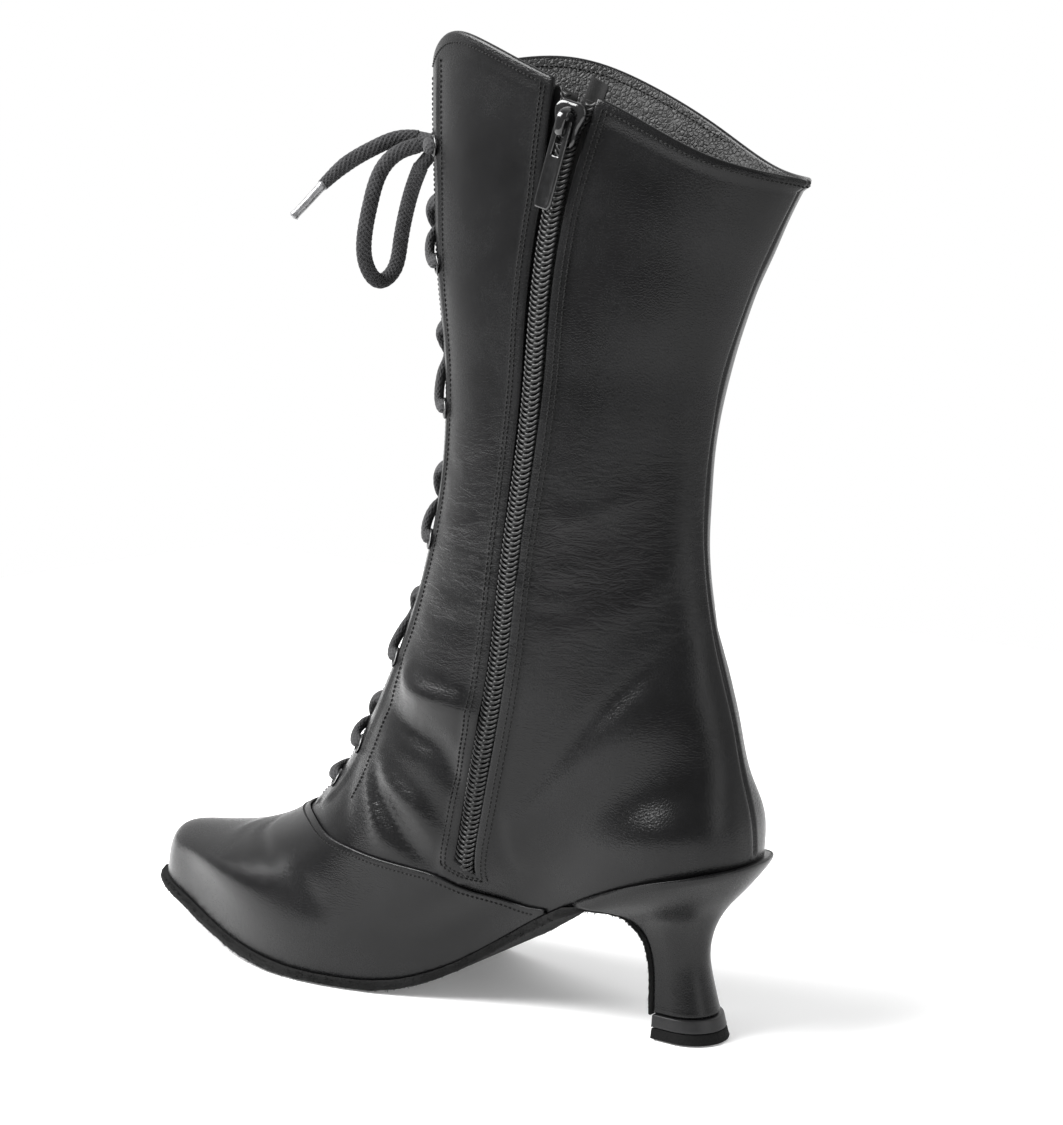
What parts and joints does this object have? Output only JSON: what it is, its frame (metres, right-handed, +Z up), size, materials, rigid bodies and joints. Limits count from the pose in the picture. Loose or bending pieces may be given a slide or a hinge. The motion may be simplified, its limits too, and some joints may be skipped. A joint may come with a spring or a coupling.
{
  "type": "dance boot",
  "caption": "Right laced ankle boot for dancing, with a hollow leather upper, inner side zip with hinged pull tab, thin suede sole and a flared covered heel.",
  "frame": {"origin": "middle of the bounding box on the floor, without the free cord nodes", "axes": "+Z up, toe towards -Y, inner (medial) side of the foot towards +X"},
  "size_m": [0.0824, 0.2557, 0.3213],
  "materials": {
    "black_leather": "smooth grained black leather, satin gloss",
    "vamp_leather": "smooth grained black leather, satin gloss",
    "tongue_leather": "soft matt black leather",
    "sole_suede": "matt black suede",
    "insole_leather": "matt dark leather",
    "heel_leather": "smooth black leather stretched over the block",
    "heel_stack": "dark stacked layer",
    "heel_rubber": "hard matt black rubber",
    "zip_cloth": "woven black tape",
    "zip_coil": "black moulded coil",
    "black_metal": "gloss black painted metal",
    "lace_cord": "braided dark grey cord",
    "lace_tip_plastic": "clear shiny plastic over cord"
  },
  "bodies": {
    "boot": {"eyelet_inner_1": "black_metal", "eyelet_inner_2": "black_metal", "eyelet_inner_3": "black_metal", "eyelet_inner_4": "black_metal", "eyelet_inner_5": "black_metal", "eyelet_inner_6": "black_metal", "eyelet_inner_7": "black_metal", "eyelet_outer_1": "black_metal", "eyelet_outer_2": "black_metal", "eyelet_outer_3": "black_metal", "eyelet_outer_4": "black_metal", "eyelet_outer_5": "black_metal", "eyelet_outer_6": "black_metal", "eyelet_outer_7": "black_metal", "heel": "heel_leather", "heel_lift": "heel_stack", "heel_tip": "heel_rubber", "insole": "insole_leather", "lace_crossing_1": "lace_cord", "lace_crossing_2": "lace_cord", "lace_crossing_3": "lace_cord", "lace_crossing_4": "lace_cord", "lace_crossing_5": "lace_cord", "lace_crossing_6": "lace_cord", "lace_end_inner": "lace_cord", "lace_end_outer": "lace_cord", "lace_knot": "lace_cord", "lace_loop_inner": "lace_cord", "lace_loop_outer": "lace_cord", "lace_tip_inner": "lace_tip_plastic", "lace_tip_outer": "lace_tip_plastic", "outsole": "sole_suede", "tongue": "tongue_leather", "upper": "black_leather", "vamp": "vamp_leather", "zip_chain": "zip_coil", "zip_slider": "black_metal", "zip_tape": "zip_cloth"},
    "zip_pull": {"zip_pull": "black_metal"}
  },
  "joints": [
    {"name": "zip_pull_hinge", "type": "hinge", "parent": "boot", "child": "zip_pull", "pos_m": [0.03813, 0.06378, 0.2924], "axis": [0.0356, -0.9601, 0.2775], "range_deg": [0, 150]}
  ]
}
